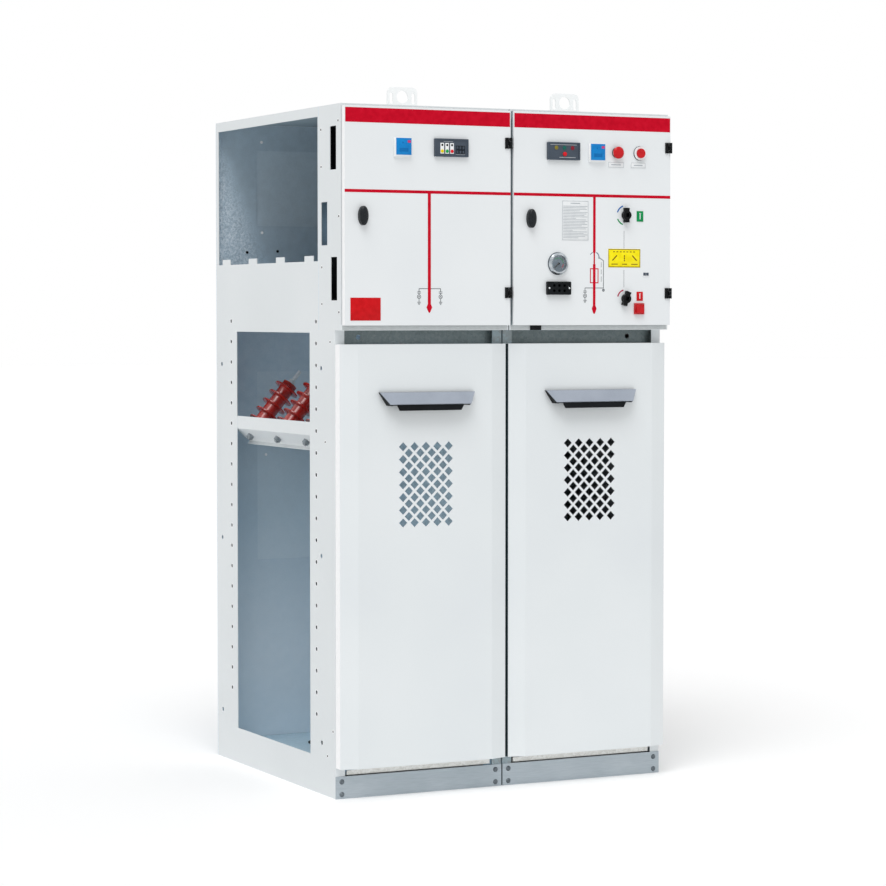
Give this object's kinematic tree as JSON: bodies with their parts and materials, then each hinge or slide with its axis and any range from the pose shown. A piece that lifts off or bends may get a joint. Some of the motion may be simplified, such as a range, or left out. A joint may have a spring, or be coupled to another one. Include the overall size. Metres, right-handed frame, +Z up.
{
  "type": "ring main unit",
  "caption": "Free-standing medium-voltage ring main unit of a cable panel and a fused switch panel, with hinged instrument doors and lift-off cable doors.",
  "frame": {"origin": "on the floor, in the middle of the unit's width and depth", "axes": "+Z up, doors towards -Y, +X to the right seen from the front"},
  "size_m": [1, 0.923, 1.91],
  "materials": {
    "white_paint": "fine satin powder coat",
    "galvanised": "spangled zinc",
    "zinc": "bright zinc",
    "black_rubber": "matte",
    "black_metal": "satin black",
    "black_plastic": "satin",
    "epoxy": "gloss cast resin",
    "copper": "rolled copper",
    "red_silicone": "satin",
    "fuse_ceramic": "glazed",
    "grey_paint": "satin",
    "blue_plastic": "gloss",
    "slate_plastic": "satin",
    "red_plastic": "gloss",
    "white_plastic": "satin",
    "gauge_metal": "polished",
    "grey_aluminium": "satin anodised"
  },
  "bodies": {
    "cabinet": {"left_side_plate": "white_paint", "inner_side_plates": "galvanised", "right_side_plate": "white_paint", "rear_walls": "galvanised", "rear_covers": "galvanised", "roof_plates": "white_paint", "lifting_lugs": "white_paint", "base_rails": "galvanised", "floor_plates": "galvanised", "cable_grommets": "black_rubber", "plinths": "galvanised", "plinth_bolts": "zinc", "bottom_rails": "galvanised", "header_rails": "galvanised", "partitions": "galvanised", "coupling_bolts": "zinc", "box_shells": "white_paint", "hinge_brackets": "black_metal", "hinge_pins": "zinc", "interlock_guide": "black_plastic", "epoxy_insulators": "epoxy", "riser_bars": "copper", "busbars": "copper", "arrester_bracket": "galvanised", "surge_arresters": "red_silicone", "arrester_studs": "zinc", "switch_upper_shell": "epoxy", "switch_lower_shell": "epoxy", "switch_terminals": "copper", "fuse_links": "fuse_ceramic", "fuse_bracket": "galvanised", "mechanism_housing": "grey_paint"},
    "load_drive": {"load_shaft": "zinc"},
    "earth_drive": {"earth_shaft": "zinc"},
    "left_door": {"left_upper_door": "white_paint", "left_hinge_leaves": "black_metal", "left_module": "blue_plastic", "live_line_indicator": "slate_plastic"},
    "left_door_lock": {"left_lock": "black_metal"},
    "right_door": {"right_upper_door": "white_paint", "right_hinge_leaves": "black_metal", "right_module": "blue_plastic", "fault_indicator": "slate_plastic", "button_bezels": "white_plastic", "gauge_case": "gauge_metal", "socket_block": "black_plastic"},
    "right_door_lock": {"right_lock": "black_metal"},
    "reset_push": {"fault_reset_button": "red_plastic"},
    "start_push": {"start_button": "red_plastic"},
    "stop_push": {"stop_button": "red_plastic"},
    "trip_push": {"trip_button": "red_plastic"},
    "needle": {"gauge_needle": "white_plastic"},
    "load_handle": {"load_knob": "black_plastic"},
    "earth_handle": {"earth_knob": "black_plastic"},
    "left_cable_door": {"left_lower_door": "white_paint", "left_handle_body": "black_plastic", "left_handle_face": "grey_aluminium"},
    "right_cable_door": {"right_lower_door": "white_paint", "right_handle_body": "black_plastic", "right_handle_face": "grey_aluminium"}
  },
  "joints": [
    {"name": "left_door_swing", "type": "hinge", "parent": "cabinet", "child": "left_door", "pos_m": [-0.007, -0.4506, 1.5545], "axis": [0, 0, 1], "range_deg": [0, 110]},
    {"name": "right_door_swing", "type": "hinge", "parent": "cabinet", "child": "right_door", "pos_m": [0.495, -0.4506, 1.5545], "axis": [0, 0, 1], "range_deg": [0, 110]},
    {"name": "left_lock_turn", "type": "hinge", "parent": "left_door", "child": "left_door_lock", "pos_m": [-0.446, -0.4455, 1.5545], "axis": [0, 1, 0], "range_deg": [0, 90]},
    {"name": "right_lock_turn", "type": "hinge", "parent": "right_door", "child": "right_door_lock", "pos_m": [0.056, -0.4455, 1.5545], "axis": [0, 1, 0], "range_deg": [0, 90]},
    {"name": "left_cable_door_lift", "type": "slide", "parent": "cabinet", "child": "left_cable_door", "axis": [0, 0, 1], "range_m": [0, 0.028]},
    {"name": "right_cable_door_lift", "type": "slide", "parent": "cabinet", "child": "right_cable_door", "axis": [0, 0, 1], "range_m": [0, 0.028]},
    {"name": "start_button_push", "type": "slide", "parent": "right_door", "child": "start_push", "axis": [0, 1, 0], "range_m": [0, 0.004], "stiffness_N_per_m": 1200},
    {"name": "stop_button_push", "type": "slide", "parent": "right_door", "child": "stop_push", "axis": [0, 1, 0], "range_m": [0, 0.004], "stiffness_N_per_m": 1200},
    {"name": "trip_button_push", "type": "slide", "parent": "right_door", "child": "trip_push", "axis": [0, 1, 0], "range_m": [0, 0.004], "stiffness_N_per_m": 1200},
    {"name": "reset_button_push", "type": "slide", "parent": "right_door", "child": "reset_push", "axis": [0, 1, 0], "range_m": [0, 0.002], "stiffness_N_per_m": 600},
    {"name": "load_shaft_turn", "type": "hinge", "parent": "cabinet", "child": "load_drive", "pos_m": [0.353, -0.3885, 1.568], "axis": [0, 1, 0], "range_deg": [0, 90]},
    {"name": "load_knob_turn", "type": "hinge", "parent": "right_door", "child": "load_handle", "pos_m": [0.353, -0.4455, 1.568], "axis": [0, 1, 0], "range_deg": [0, 90]},
    {"name": "earth_shaft_turn", "type": "hinge", "parent": "cabinet", "child": "earth_drive", "pos_m": [0.353, -0.3885, 1.338], "axis": [0, 1, 0], "range_deg": [0, 90]},
    {"name": "earth_knob_turn", "type": "hinge", "parent": "right_door", "child": "earth_handle", "pos_m": [0.353, -0.4455, 1.338], "axis": [0, 1, 0], "range_deg": [0, 90]},
    {"name": "gauge_needle_turn", "type": "hinge", "parent": "right_door", "child": "needle", "pos_m": [0.141, -0.4455, 1.433], "axis": [0, 1, 0], "range_deg": [0, 270]}
  ],
  "couplings": [
    {"joint": "load_knob_turn", "follows": "load_shaft_turn", "ratio": 1},
    {"joint": "earth_knob_turn", "follows": "earth_shaft_turn", "ratio": 1}
  ]
}
